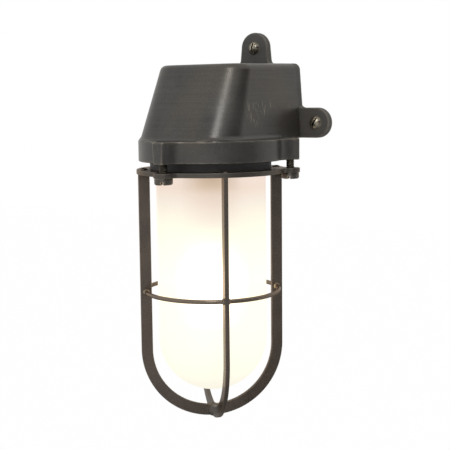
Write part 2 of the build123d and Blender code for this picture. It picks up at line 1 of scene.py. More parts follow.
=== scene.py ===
import json
import math

import bmesh
import bpy
from mathutils import Matrix, Vector


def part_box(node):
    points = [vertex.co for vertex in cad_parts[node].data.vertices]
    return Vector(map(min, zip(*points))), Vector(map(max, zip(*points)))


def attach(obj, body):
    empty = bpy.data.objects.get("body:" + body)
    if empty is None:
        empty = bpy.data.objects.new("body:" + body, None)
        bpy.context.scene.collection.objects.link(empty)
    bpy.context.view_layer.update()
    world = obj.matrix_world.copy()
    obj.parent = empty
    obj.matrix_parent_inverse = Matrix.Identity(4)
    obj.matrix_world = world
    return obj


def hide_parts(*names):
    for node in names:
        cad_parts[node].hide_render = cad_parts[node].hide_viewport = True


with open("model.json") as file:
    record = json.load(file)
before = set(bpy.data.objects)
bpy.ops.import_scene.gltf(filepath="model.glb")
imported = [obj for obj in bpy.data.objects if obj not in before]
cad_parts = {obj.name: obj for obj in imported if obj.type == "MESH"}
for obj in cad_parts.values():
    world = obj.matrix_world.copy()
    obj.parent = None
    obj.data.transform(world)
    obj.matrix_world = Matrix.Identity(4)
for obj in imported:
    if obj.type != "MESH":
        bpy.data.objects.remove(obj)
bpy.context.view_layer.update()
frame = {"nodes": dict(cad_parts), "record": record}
scene = bpy.context.scene
scene.view_settings.view_transform = "Standard"
nodes = frame["nodes"]
mm = 0.001
print("frame loaded:", len(nodes), "CAD nodes")


# Shader helpers
def newMaterial(name):
    material = bpy.data.materials.new(name)
    material.use_nodes = True
    material.node_tree.nodes.clear()
    return material


def addNode(tree, kind, **values):
    # in_ marks the value of an input, any other word is a setting of the node
    node = tree.nodes.new(kind)
    for key, value in values.items():
        if key.startswith("in_"):
            node.inputs[key[3:].replace("_", " ")].default_value = value
        else:
            setattr(node, key, value)
    return node


def grey(level):
    return (level, level, level)


def opaque(colour):
    return (*colour, 1.0)


def feed(tree, value, socket):
    # a link from another socket, or a plain number or colour
    if isinstance(value, bpy.types.NodeSocket):
        tree.links.new(value, socket)
    elif socket.type == "RGBA":
        socket.default_value = opaque(value)
    else:
        socket.default_value = value


def ramp(tree, source, stops):
    node = tree.nodes.new("ShaderNodeValToRGB")
    tree.links.new(source, node.inputs["Fac"])
    elements = node.color_ramp.elements
    while len(elements) < len(stops):
        elements.new(0.5)
    for element, (place, colour) in zip(elements, stops):
        element.position = place
        element.color = opaque(colour)
    return node.outputs["Color"]


def greyRamp(tree, source, stops):
    return ramp(tree, source, [(place, grey(level)) for place, level in stops])


noiseSpan = (0.3, 0.7)  # most of a noise lies between these


def math2(tree, operation, first, second):
    node = addNode(tree, "ShaderNodeMath", operation=operation)
    for value, socket in zip((first, second), node.inputs):
        feed(tree, value, socket)
    return node.outputs[0]


def mixColour(tree, factor, first, second, blend="MIX"):
    node = addNode(tree, "ShaderNodeMix", data_type="RGBA", blend_type=blend)
    sockets = [node.inputs[place] for place in (0, 6, 7)]  # the factor and the two colours
    for value, socket in zip((factor, first, second), sockets):
        feed(tree, value, socket)
    return node.outputs[2]


def mixShaders(tree, factor, first, second):
    mix = tree.nodes.new("ShaderNodeMixShader")
    for source, socket in zip((factor, first.outputs[0], second.outputs[0]), mix.inputs):
        tree.links.new(source, socket)
    return mix


def showShader(tree, shader):
    tree.links.new(shader.outputs[0], tree.nodes.new("ShaderNodeOutputMaterial").inputs[0])


def objectAxes(tree):
    # the object's own coordinates, whole and as X, Y and Z
    coords = tree.nodes.new("ShaderNodeTexCoord").outputs["Object"]
    split = tree.nodes.new("ShaderNodeSeparateXYZ")
    tree.links.new(coords, split.inputs[0])
    return coords, split.outputs


def between(tree, value, limits):
    # 0 below the first limit, 1 above the second
    span = addNode(tree, "ShaderNodeMapRange", in_From_Min=limits[0], in_From_Max=limits[1])
    tree.links.new(value, span.inputs["Value"])
    return span.outputs[0]


spotCore = 0.3  # share of a spot's radius that isn't faded


def nearSpot(tree, coords, spot, radius):
    # 1 at the spot, fading to 0 at the radius, both in millimetres
    gap = addNode(tree, "ShaderNodeVectorMath", operation="DISTANCE")
    tree.links.new(coords, gap.inputs[0])
    gap.inputs[1].default_value = [place * mm for place in spot]
    return between(tree, gap.outputs["Value"], (radius * mm, spotCore * radius * mm))


def addNoise(tree, coords, scale, detail=4.0, roughness=0.55, stretch=(1, 1, 1)):
    mapping = addNode(tree, "ShaderNodeMapping", in_Scale=stretch)
    tree.links.new(coords, mapping.inputs["Vector"])
    noise = addNode(tree, "ShaderNodeTexNoise", in_Scale=scale, in_Detail=detail, in_Roughness=roughness)
    tree.links.new(mapping.outputs[0], noise.inputs["Vector"])
    return noise.outputs["Fac"]


def addBump(tree, height, strength, distance):
    bump = addNode(tree, "ShaderNodeBump", in_Strength=strength, in_Distance=distance)
    tree.links.new(height, bump.inputs["Height"])
    return bump.outputs[0]


def newGroup(name, inputs, outputs):
    group = bpy.data.node_groups.new(name, "ShaderNodeTree")
    for side, sockets in (("INPUT", inputs), ("OUTPUT", outputs)):
        for label, kind in sockets.items():
            group.interface.new_socket(label, in_out=side, socket_type="NodeSocket" + kind)
    return group, group.nodes.new("NodeGroupInput").outputs, group.nodes.new("NodeGroupOutput").inputs


def useGroup(tree, group, **values):
    node = tree.nodes.new("ShaderNodeGroup")
    node.node_tree = group
    for label, value in values.items():
        feed(tree, value, node.inputs[label])
    return node.outputs


# Effects shared by the finishes
edgeWearAndGlintLook = {
    "samples": 8,
    "thin": ((0.55, 1.0), (0.93, 0.0)),
    "fine": {"scale": 300.0, "detail": 5.0, "roughness": 0.62},
    "broad": {"scale": 45.0, "detail": 3.0},
    "kept": ((0.19, 0.0), (0.36, 1.0)),
}


def edgeWearAndGlintGroup(look):
    # rubbed outer edges, lighter as real wear and as painted highlights: the metal is thin there, so rays
    # cast inwards soon come out again
    group, start, end = newGroup(
        "edgeWearAndGlint",
        {"Coords": "Vector", "Reach": "Float", "Cover": "Float", "Amount": "Float"},
        {"Mask": "Float"},
    )
    thin = addNode(group, "ShaderNodeAmbientOcclusion", inside=True, samples=look["samples"])
    group.links.new(start["Reach"], thin.inputs["Distance"])
    edge = greyRamp(group, thin.outputs["AO"], look["thin"])
    fine = addNoise(group, start["Coords"], **look["fine"])
    broad = addNoise(group, start["Coords"], **look["broad"])
    patchy = math2(group, "ADD", math2(group, "MULTIPLY", fine, broad), start["Cover"])
    mask = math2(group, "MULTIPLY", edge, greyRamp(group, patchy, look["kept"]))
    group.links.new(math2(group, "MULTIPLY", mask, start["Amount"]), end["Mask"])
    return group


patinaLook = {
    "mottle": {"scale": 30.0, "detail": 6.0, "roughness": 0.6},
    "grain": {"scale": 900.0, "detail": 3.0, "roughness": 0.6},
    "brush": {"scale": 520.0, "detail": 4.0, "roughness": 0.6, "stretch": (0.03, 0.03, 1.5)},
    "stain": {"scale": 17.0, "stretch": (1, 1, 0.7)},
    "tones": ((0.34, 0.0), (0.66, 1.0)),  # dark to pale
    "stains": ((0.45, 0.0), (0.68, 0.85)),
    "lines": ((0.3, 0.80), (0.7, 1.16)),
    "specks": ((0.3, 0.88), (0.72, 1.1)),
    # darker in crevices: grime there, with painted shade where shade falls
    "creviceGrimeAndShade": ((0.35, 0.10), (0.85, 1.0)),
    "creviceReach": 3.0 * mm,
    "creviceSamples": 6,
    "grainHeight": 0.4,  # beside brush strokes of 1
}


def patinaGroup(look):
    group, start, end = newGroup(
        "patina",
        {
            "Coords": "Vector",
            "Dark": "Color",
            "Pale": "Color",
            "Brown": "Color",
            "Brushing": "Float",
            "Grime": "Float",
        },
        {"Color": "Color", "Mottle": "Float", "Height": "Float"},
    )
    mottle, grain, brush, stain = (
        addNoise(group, start["Coords"], **look[name]) for name in ("mottle", "grain", "brush", "stain")
    )
    crevice = addNode(
        group, "ShaderNodeAmbientOcclusion", samples=look["creviceSamples"], in_Distance=look["creviceReach"]
    )
    colour = mixColour(group, greyRamp(group, mottle, look["tones"]), start["Dark"], start["Pale"])
    colour = mixColour(group, greyRamp(group, stain, look["stains"]), colour, start["Brown"])
    lines = greyRamp(group, brush, look["lines"])
    colour = mixColour(group, start["Brushing"], colour, lines, "MULTIPLY")
    colour = mixColour(group, 1.0, colour, greyRamp(group, grain, look["specks"]), "MULTIPLY")
    # painted shade: crevices, slots and gaps darkened, on top of grime there
    grimeAndShade = greyRamp(group, crevice.outputs["AO"], look["creviceGrimeAndShade"])
    colour = mixColour(group, start["Grime"], colour, grimeAndShade, "MULTIPLY")
    strokes = math2(group, "MULTIPLY", brush, start["Brushing"])
    height = math2(group, "ADD", math2(group, "MULTIPLY", grain, look["grainHeight"]), strokes)
    for label, source in (("Color", colour), ("Mottle", mottle), ("Height", height)):
        group.links.new(source, end[label])
    return group


scuffLook = {
    "marks": {"scale": 1000.0, "detail": 2.0, "roughness": 0.5, "stretch": (1, 1, 0.13)},
    "strokes": ((0.56, 0.0), (0.67, 1.0)),
    "places": {"scale": 42.0, "detail": 2.0},
    "patches": ((0.54, 0.0), (0.68, 1.0)),
}


def scuffGroup(look):
    # short upright rub marks, and the patches where they gather
    group, start, end = newGroup("scuffs", {"Coords": "Vector"}, {"Strokes": "Float", "Patches": "Float"})
    marks = addNoise(group, start["Coords"], **look["marks"])
    group.links.new(greyRamp(group, marks, look["strokes"]), end["Strokes"])
    places = addNoise(group, start["Coords"], **look["places"])
    group.links.new(greyRamp(group, places, look["patches"]), end["Patches"])
    return group


edgeWearAndGlint = edgeWearAndGlintGroup(edgeWearAndGlintLook)
patina = patinaGroup(patinaLook)
scuffs = scuffGroup(scuffLook)

# Finishes
castFinish = {
    "dark": (0.057, 0.0555, 0.0535),
    "pale": (0.081, 0.078, 0.0725),
    "brown": (0.086, 0.0755, 0.0625),
    "wornAndGlint": (0.33, 0.285, 0.22),  # rubbed edges and rub marks; on the edges also a painted highlight
    "roughness": (0.28, 0.38),  # across the mottle
    "metallic": 0.75,
    "grazing": (0.95, 0.93, 0.90),  # tint of reflections at a low angle
    "edgeReach": 1.4 * mm,  # width of a rubbed edge
    "cover": 0.08,  # more of the edges is rubbed
    "wearAndGlint": 1.0,
    "brushing": 0.45,
    # painted shade in crevices, with grime there
    "grimeAndShade": 0.3,
    "brushed": (-9.0 * mm, -6.0 * mm),  # the hood is brushed, the rim below it is not
    "asCast": (-7.0 * mm, -6.0 * mm),  # the lugs beside the wall keep a rougher skin
    "castRoughness": 0.66,
    "dullMetallic": 0.3,
    "scuffing": 0.08,
    "scuffSpots": (
        ((38.7, -70.5, 8.0), 11.0, 0.95),  # place, radius and strength
        ((38.5, -56.0, 11.0), 7.0, 0.65),
        ((38.5, -45.0, 12.0), 6.0, 0.5),
    ),
    "crossingLightPatch": None,
    "bump": (0.10, 0.4 * mm),  # strength and distance
}
barFinish = dict(
    castFinish,
    dark=(0.074, 0.061, 0.052),
    pale=(0.104, 0.086, 0.073),
    brown=(0.113, 0.087, 0.068),
    roughness=(0.22, 0.32),
    grazing=(0.86, 0.70, 0.57),
    edgeReach=0.7 * mm,
    cover=0.02,
    wearAndGlint=0.6,
    brushing=0.12,
    brushed=None,
    asCast=None,
    scuffing=0.06,
    scuffSpots=(),
)
hoopFinish = dict(
    barFinish,
    grazing=(1.0, 0.88, 0.76),
    crossingLightPatch={  # painted light: a paler, matt patch lifts the shaded crossing
        "spot": (0.0, -65.5, -209.0),
        "radius": 34.0,
        "colour": (0.135, 0.124, 0.114),
        "roughness": 0.6,
    },
)
# paler and browner than the bars: partly the rod's own tone, partly painted light from the glowing glass
# beside it
rodToneAndGlow = dict(
    barFinish,
    dark=(0.128, 0.105, 0.087),
    pale=(0.185, 0.151, 0.123),
    brown=(0.196, 0.152, 0.116),
)
flangeFinish = dict(
    barFinish,
    dark=(0.066, 0.061, 0.055),
    pale=(0.090, 0.083, 0.074),
    brown=(0.092, 0.079, 0.066),
    roughness=(0.30, 0.42),
    cover=0.10,
)
screwFinish = dict(
    barFinish,
    dark=(0.072, 0.067, 0.061),
    pale=(0.112, 0.102, 0.088),
    brown=(0.110, 0.093, 0.072),
    wornAndGlint=(0.60, 0.50, 0.36),
    grazing=(0.92, 0.86, 0.78),
    # painted shade: the slots darkened strongly, with grime there
    grimeAndShade=0.8,
    edgeReach=0.5 * mm,
    cover=0.05,
    wearAndGlint=1.0,
)
jointFinish = dict(
    barFinish,
    dark=(0.078, 0.071, 0.065),
    pale=(0.108, 0.098, 0.089),
    brown=(0.112, 0.095, 0.081),
    roughness=(0.36, 0.48),
    wearAndGlint=0.15,
)
# painted shade: far darker than the heads, for the shadow on the shank between flange and boss
shadedThreadFinish = dict(
    screwFinish,
    dark=(0.022, 0.020, 0.018),
    pale=(0.040, 0.036, 0.030),
    brown=(0.040, 0.033, 0.026),
    roughness=(0.45, 0.55),
    cover=0.0,
    wearAndGlint=0.2,
)
headFinish = dict(
    screwFinish,
    dark=(0.095, 0.087, 0.073),
    pale=(0.230, 0.207, 0.167),
    brown=(0.240, 0.198, 0.144),
    # painted glints: the bright worn colour and wide cover on the rubbed edges also stand in for highlights
    # on the heads
    wornAndGlint=(0.74, 0.66, 0.50),
    roughness=(0.16, 0.28),
    metallic=0.85,
    # painted shade: the slots darkened strongly, with grime there
    grimeAndShade=0.9,
    edgeReach=0.6 * mm,
    cover=0.10,
)
brazeFinish = dict(
    barFinish,
    dark=(0.110, 0.093, 0.075),
    pale=(0.190, 0.160, 0.125),
    brown=(0.170, 0.135, 0.100),
    wornAndGlint=(0.42, 0.35, 0.26),
)


def dullShare(tree, mask, look):
    # the finish's own metallic value where the mask is 0, the duller one where it is 1
    span = addNode(tree, "ShaderNodeMapRange", in_To_Min=look["metallic"], in_To_Max=look["dullMetallic"])
    tree.links.new(mask, span.inputs["Value"])
    return span.outputs[0]


def bronzeMaterial(name, look):
    material = newMaterial(name)
    tree = material.node_tree
    coords, axes = objectAxes(tree)
    brushing = look["brushing"]
    if look["brushed"]:
        brushing = math2(tree, "MULTIPLY", between(tree, axes["Z"], look["brushed"]), brushing)
    base = useGroup(
        tree,
        patina,
        Coords=coords,
        Dark=look["dark"],
        Pale=look["pale"],
        Brown=look["brown"],
        Brushing=brushing,
        Grime=look["grimeAndShade"],
    )
    wearAndGlint = useGroup(
        tree, edgeWearAndGlint, Coords=coords, Reach=look["edgeReach"], Cover=look["cover"], Amount=look["wearAndGlint"]
    )
    scratch = useGroup(tree, scuffs, Coords=coords)
    amount = math2(tree, "MULTIPLY", scratch["Patches"], look["scuffing"])
    for spot, radius, strength in look["scuffSpots"]:
        near = math2(tree, "MULTIPLY", nearSpot(tree, coords, spot, radius), strength)
        amount = math2(tree, "MAXIMUM", near, amount)
    scuffed = math2(tree, "MULTIPLY", scratch["Strokes"], amount)
    colour = mixColour(tree, scuffed, base["Color"], look["wornAndGlint"])
    # painted highlight along the rubbed edges, on top of real wear
    colour = mixColour(tree, wearAndGlint["Mask"], colour, look["wornAndGlint"])
    rough = greyRamp(tree, base["Mottle"], zip(noiseSpan, look["roughness"]))
    metal = look["metallic"]
    crossingLightPatch = look["crossingLightPatch"]
    # painted light: a paler, duller patch over the shaded crossing
    if crossingLightPatch:
        patchShare = nearSpot(tree, coords, crossingLightPatch["spot"], crossingLightPatch["radius"])
        colour = mixColour(tree, patchShare, colour, crossingLightPatch["colour"])
        rough = mixColour(tree, patchShare, rough, grey(crossingLightPatch["roughness"]))
        metal = dullShare(tree, patchShare, look)
    if look["asCast"]:
        skin = between(tree, axes["Y"], look["asCast"])
        rough = mixColour(tree, skin, rough, grey(look["castRoughness"]))
        metal = dullShare(tree, skin, look)
    shader = addNode(tree, "ShaderNodeBsdfPrincipled", in_Specular_Tint=opaque(look["grazing"]))
    feed(tree, colour, shader.inputs["Base Color"])
    feed(tree, rough, shader.inputs["Roughness"])
    feed(tree, metal, shader.inputs["Metallic"])
    feed(tree, addBump(tree, base["Height"], *look["bump"]), shader.inputs["Normal"])
    showShader(tree, shader)
    return material


castBronze = bronzeMaterial("castBronze", castFinish)
barBronze = bronzeMaterial("barBronze", barFinish)
flangeBronze = bronzeMaterial("flangeBronze", flangeFinish)
hoopBronze = bronzeMaterial("hoopBronze", hoopFinish)
rodBronze = bronzeMaterial("rodBronze", rodToneAndGlow)
jointBronze = bronzeMaterial("jointBronze", jointFinish)
screwBronze = bronzeMaterial("screwBronze", screwFinish)
shadedThreadBronze = bronzeMaterial("shadedThreadBronze", shadedThreadFinish)
headBrass = bronzeMaterial("headBrass", headFinish)
brazeBrass = bronzeMaterial("brazeBrass", brazeFinish)

glassFinishAndGlow = {
    "glow": 3.2,  # strength of the brightest stop below
    "span": (-193.0 * mm, -31.0 * mm),  # levels of heights 0 and 1
    "middle": (  # the glow by height, facing the eye
        (0.060, (0.86, 0.80, 0.67)),
        (0.128, (0.97, 0.95, 0.75)),
        (0.248, (1.05, 1.02, 0.81)),
        (0.330, (1.30, 1.15, 0.84)),
        (0.400, (2.10, 1.75, 1.30)),
        (0.470, (3.20, 2.65, 2.15)),
        (0.560, (3.20, 2.65, 2.15)),
        (0.660, (1.70, 1.45, 1.05)),
        (0.720, (1.25, 1.10, 0.78)),
        (0.770, (0.88, 0.80, 0.67)),
        (0.805, (0.81, 0.71, 0.60)),
        (0.873, (0.72, 0.58, 0.48)),
        (0.907, (0.69, 0.545, 0.44)),
        (0.942, (0.57, 0.425, 0.30)),
        (0.970, (0.515, 0.375, 0.26)),
    ),
    "sides": (  # and where the jar turns away
        (0.060, (0.86, 0.82, 0.70)),
        (0.150, (0.92, 0.90, 0.74)),
        (0.330, (1.00, 0.96, 0.79)),
        (0.530, (1.40, 1.25, 0.83)),
        (0.700, (1.00, 0.94, 0.74)),
        (0.805, (0.88, 0.81, 0.67)),
        (0.873, (0.80, 0.71, 0.61)),
        (0.930, (0.79, 0.64, 0.54)),
        (0.976, (0.83, 0.69, 0.61)),
    ),
    "facing": ((0.0, 0.0), (0.06, 0.45), (0.17, 0.90), (0.30, 1.0)),  # from the middle to the sides
    "body": (0.16, 0.155, 0.145),
    "roughness": 0.55,
    "specular": 0.2,
    "frost": {"scale": 2400.0, "detail": 2.0},
    "bump": (0.15, 0.2 * mm),  # strength and distance
}


def frostedGlass(look):
    # painted glow: a frosted jar lit from inside, its emission brightest beside the lamp, with painted shade
    # in front of the lampholder
    material = newMaterial("frostedGlass")
    tree = material.node_tree
    coords, axes = objectAxes(tree)
    height = between(tree, axes["Z"], look["span"])

    def gradient(stops):
        shares = [(place, [part / look["glow"] for part in shade]) for place, shade in stops]
        return ramp(tree, height, shares)

    # painted light: the glow changes from the jar's middle to its sides with the angle to the eye
    facing = addNode(tree, "ShaderNodeLayerWeight", in_Blend=0.5).outputs["Facing"]
    aside = greyRamp(tree, facing, look["facing"])
    glow = mixColour(tree, aside, gradient(look["middle"]), gradient(look["sides"]))
    frost = addNoise(tree, coords, **look["frost"])
    shader = addNode(
        tree,
        "ShaderNodeBsdfPrincipled",
        in_Base_Color=opaque(look["body"]),
        in_Roughness=look["roughness"],
        in_Specular_IOR_Level=look["specular"],
        in_Emission_Strength=look["glow"],
    )
    feed(tree, glow, shader.inputs["Emission Color"])
    feed(tree, addBump(tree, frost, *look["bump"]), shader.inputs["Normal"])
    showShader(tree, shader)
    return material


plainLook = {
    "mottle": {"scale": 60.0, "detail": 5.0},
    "grain": {"scale": 700.0, "detail": 3.0},
    "shades": (0.82, 1.12),  # times the colour
    "gloss": (0.85, 1.15),  # times the roughness
    "bumpDistance": 0.3 * mm,
}


def plainFinish(name, colour, roughness, metallic=0.0, depth=0.05, emission=None):
    look = plainLook
    material = newMaterial(name)
    tree = material.node_tree
    coords = objectAxes(tree)[0]
    mottle = addNoise(tree, coords, **look["mottle"])
    grain = addNoise(tree, coords, **look["grain"])
    shades = [[part * share for part in colour] for share in look["shades"]]
    gloss = [roughness * share for share in look["gloss"]]
    shader = addNode(tree, "ShaderNodeBsdfPrincipled", in_Metallic=metallic)
    feed(tree, ramp(tree, mottle, list(zip(noiseSpan, shades))), shader.inputs["Base Color"])
    feed(tree, greyRamp(tree, grain, zip(noiseSpan, gloss)), shader.inputs["Roughness"])
    feed(tree, addBump(tree, grain, depth, look["bumpDistance"]), shader.inputs["Normal"])
    if emission:
        feed(tree, emission, shader.inputs["Emission Color"])
        feed(tree, 1.0, shader.inputs["Emission Strength"])
    showShader(tree, shader)
    return material


finishes = {
    "weathered_bronze": barBronze,
    "screw_bronze": screwBronze,
    "frosted_glass": frostedGlass(glassFinishAndGlow),
    "seal_rubber": plainFinish("sealRubber", (0.034, 0.031, 0.030), 0.6),
    "porcelain": plainFinish("porcelain", (0.78, 0.77, 0.72), 0.16, depth=0.01),
    "plain_brass": plainFinish("plainBrass", (0.60, 0.45, 0.19), 0.32, metallic=1.0),
    "plated_steel": plainFinish("platedSteel", (0.55, 0.56, 0.57), 0.34, metallic=1.0),
    "terminal_plastic": plainFinish("terminalPlastic", (0.72, 0.70, 0.64), 0.45),
    "lamp_opal": plainFinish("lampOpal", (0.46, 0.44, 0.40), 0.3, emission=(0.46, 0.38, 0.26)),
    "black_insulator": plainFinish("blackInsulator", (0.015, 0.015, 0.015), 0.25),
    "lead_brown": plainFinish("leadBrown", (0.09, 0.035, 0.014), 0.4),
    "lead_blue": plainFinish("leadBlue", (0.02, 0.07, 0.30), 0.4),
}
ownFinishes = {
    "housing": castBronze,
    "cage_flange": flangeBronze,
    "cage_hoop_under": hoopBronze,
    "waist_ring": rodBronze,
}
for part in frame["record"]["subparts"]:
    node = nodes[part["node"]]
    node.data.materials.clear()
    node.data.materials.append(ownFinishes.get(part["node"], finishes[part["material_slot"]]))
print("finishes on the CAD nodes")


# Modelling helpers
def deselectAll():
    bpy.ops.object.select_all(action="DESELECT")


def makeActive(piece):
    deselectAll()
    piece.select_set(True)
    bpy.context.view_layer.objects.active = piece


def freeze():
    # place, turn and scale of the new primitive go into its mesh
    bpy.ops.object.transform_apply(location=True, rotation=True, scale=True)
    return bpy.context.object


def applyModifier(piece, kind, **settings):
    makeActive(piece)
    modifier = piece.modifiers.new("step", kind)
    for key, value in settings.items():
        setattr(modifier, key, value)
    bpy.ops.object.modifier_apply(modifier="step")


def openEdit(piece):
    # edit mode with everything selected
    makeActive(piece)
    bpy.ops.object.mode_set(mode="EDIT")
    bpy.ops.mesh.select_all(action="SELECT")


def leaveEdit():
    bpy.ops.object.mode_set(mode="OBJECT")


levelFace = 0.9  # rise of the normal of a face that counts as level


def isTop(normal):
    return normal.z > levelFace


def isFoot(normal):
    return normal.z < -levelFace


def isSide(normal):
    return abs(normal.z) < levelFace


def pickFaces(piece, test):
    # leaves edit mode open with only the faces selected whose normals pass the test
    openEdit(piece)
    bpy.ops.mesh.select_mode(type="FACE")
    bpy.ops.mesh.select_all(action="DESELECT")
    mesh = bmesh.from_edit_mesh(piece.data)
    for face in mesh.faces:
        face.select_set(test(face.normal))
    bmesh.update_edit_mesh(piece.data)


def keepAbove(piece, level):
    # cuts off and closes all that lies below the level
    openEdit(piece)
    bpy.ops.mesh.bisect(plane_co=(0, 0, level), plane_no=(0, 0, 1), use_fill=True, clear_inner=True)
    leaveEdit()


def drawShank(thickness, length):
    # a narrower post out of the picked face
    bpy.ops.mesh.inset(thickness=thickness)
    bpy.ops.mesh.extrude_region_move(TRANSFORM_OT_translate={"value": (0, 0, length)})
    leaveEdit()


def discard(master):
    bpy.data.objects.remove(master)


def cutSlot(piece, width, length, depth, topLevel):
    # a straight screwdriver slot across the top of a head
    deselectAll()
    bpy.ops.mesh.primitive_cube_add(size=1, location=(0, 0, topLevel))
    cutter = bpy.context.object
    cutter.scale = (width, length, 2 * depth)
    applyModifier(piece, "BOOLEAN", operation="DIFFERENCE", object=cutter, solver="EXACT")
    discard(cutter)


def shadeSmooth(piece, angle):
    makeActive(piece)
    bpy.ops.object.shade_smooth_by_angle(angle=math.radians(angle))


edgeRounding = {"over": 40, "segments": 2, "smooth": 38}  # both angles in degrees


def softenEdges(piece, width):
    applyModifier(
        piece,
        "BEVEL",
        width=width,
        segments=edgeRounding["segments"],
        limit_method="ANGLE",
        angle_limit=math.radians(edgeRounding["over"]),
        use_clamp_overlap=True,
    )
    shadeSmooth(piece, edgeRounding["smooth"])


def addBall(facets, radii):
    deselectAll()
    around, rings = facets
    bpy.ops.mesh.primitive_uv_sphere_add(segments=around, ring_count=rings, radius=1)
    bpy.context.object.scale = radii
    return freeze()


handSmooth = 50  # degrees


def workByHand(piece, look):
    # uneven all over, then smoothed
    openEdit(piece)
    bpy.ops.transform.vertex_random(offset=look["rough"], uniform=look["uniform"], seed=look["seed"])
    leaveEdit()
    applyModifier(piece, "SMOOTH", factor=look["smoothing"], iterations=look["passes"])
    shadeSmooth(piece, handSmooth)


def turned(degrees, axis):
    return Matrix.Rotation(math.radians(degrees), 4, axis)


def placedCopy(master, name, matrix):
    # a copy with a mesh of its own, its place baked into that mesh
    copy = master.copy()
    copy.data = master.data.copy()
    copy.data.transform(matrix)
    copy.data.update()
    copy.name = name
    copy.data.name = name
    scene.collection.objects.link(copy)
    return copy


def dress(piece, body, slotName, *materials):
    piece.data.materials.clear()
    for material in materials:
        piece.data.materials.append(material)
    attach(piece, body)


# Levels and places from the frame
mounts = {mount["name"]: mount for mount in frame["record"]["mounts"]}
lugFront = 2 * mounts["top_fixing"]["pos_m"][1]  # the mount lies at mid-thickness
topRise = mounts["top_fixing"]["pos_m"][2]
sideReach = mounts["side_fixings"]["dims"]["spacing_x_mm"] / 2 * mm
flangeLow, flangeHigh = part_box("cage_flange")
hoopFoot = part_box("cage_hoop_over")[0][2]
ringLow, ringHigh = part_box("waist_ring")
lampDepth = (ringLow[1] + ringHigh[1]) / 2
rodRadius = (ringHigh[2] - ringLow[2]) / 2
ringRadius = (ringHigh[0] - ringLow[0]) / 2 - rodRadius
waistLevel = (ringHigh[2] + ringLow[2]) / 2
barAngles = (45, 135, 225, 315)


def onLampAxis(level):
    return Matrix.Translation((0.0, lampDepth, level))


wallScrew = {
    "facets": (64, 40),  # around and from pole to pole
    "headDiameter": 9.8 * mm,
    "domeHeight": 3.3 * mm,
    "shankDiameter": 4.9 * mm,
    "slotWidth": 1.5 * mm,
    "slotDepth": 2.2 * mm,
    "edge": 0.14 * mm,
    "places": (
        ("wallScrewTop", (0.0, topRise), -4),  # with the turn of its slot
        ("wallScrewRight", (sideReach, 0.0), -24),
        ("wallScrewLeft", (-sideReach, 0.0), 38),
    ),
}


def buildWallScrews(look):
    # round heads with a slot, bedded on the lugs, their shanks in the fixing holes
    half, rise = look["headDiameter"] / 2, look["domeHeight"]
    ball = (half**2 + rise**2) / (2 * rise)
    deselectAll()
    around, rings = look["facets"]
    bpy.ops.mesh.primitive_uv_sphere_add(
        segments=around, ring_count=rings, radius=ball, location=(0, 0, rise - ball)
    )
    head = freeze()
    keepAbove(head, 0)
    pickFaces(head, isFoot)
    drawShank(half - look["shankDiameter"] / 2, lugFront)
    cutSlot(head, look["slotWidth"], 3 * half, look["slotDepth"], rise)
    softenEdges(head, look["edge"])
    for name, (x, z), angle in look["places"]:
        place = Matrix.Translation((x, lugFront, z)) @ turned(90, "X") @ turned(angle, "Z")
        screw = placedCopy(head, name, place)
        dress(screw, "housing", "screw_bronze", headBrass)
    discard(head)


cageScrew = {
    "facets": 72,
    "slotWidth": 1.7 * mm,
    "slotDepth": 2.2 * mm,
    "footRound": 1.3 * mm,
    "footSegments": 4,
    "edge": 0.16 * mm,
    "coreRadius": 2.5 * mm,
    "ridge": 0.50 * mm,
    "pitch": 1.25 * mm,
    "threadStart": 0.2 * mm,
    "threadSteps": 28,
    "places": (
        ("cageScrewFront", "cage_screw_front", "front_screw", 26),  # with the turn of its slot
        ("cageScrewRight", "cage_screw_right", "right_screw", 20),
        ("cageScrewLeft", "cage_screw_left", "left_screw", 125),
    ),
}


def buildThread(look, length):
    # a square on its corner, swept up the core
    deselectAll()
    bpy.ops.mesh.primitive_circle_add(
        vertices=4,
        radius=look["ridge"],
        location=(look["coreRadius"], 0, look["threadStart"]),
        rotation=(math.radians(90), 0, 0),
    )
    thread = freeze()
    applyModifier(
        thread,
        "SCREW",
        axis="Z",
        angle=math.radians(360),
        screw_offset=look["pitch"],
        iterations=int((length - 2 * look["threadStart"]) / look["pitch"]),
        steps=look["threadSteps"],
        render_steps=look["threadSteps"],
        use_normal_calculate=True,
    )
    openEdit(thread)
    bpy.ops.mesh.fill_holes(sides=4)  # the two ends of the thread
    bpy.ops.mesh.select_all(action="SELECT")
    bpy.ops.mesh.normals_make_consistent(inside=False)
    leaveEdit()
    return thread


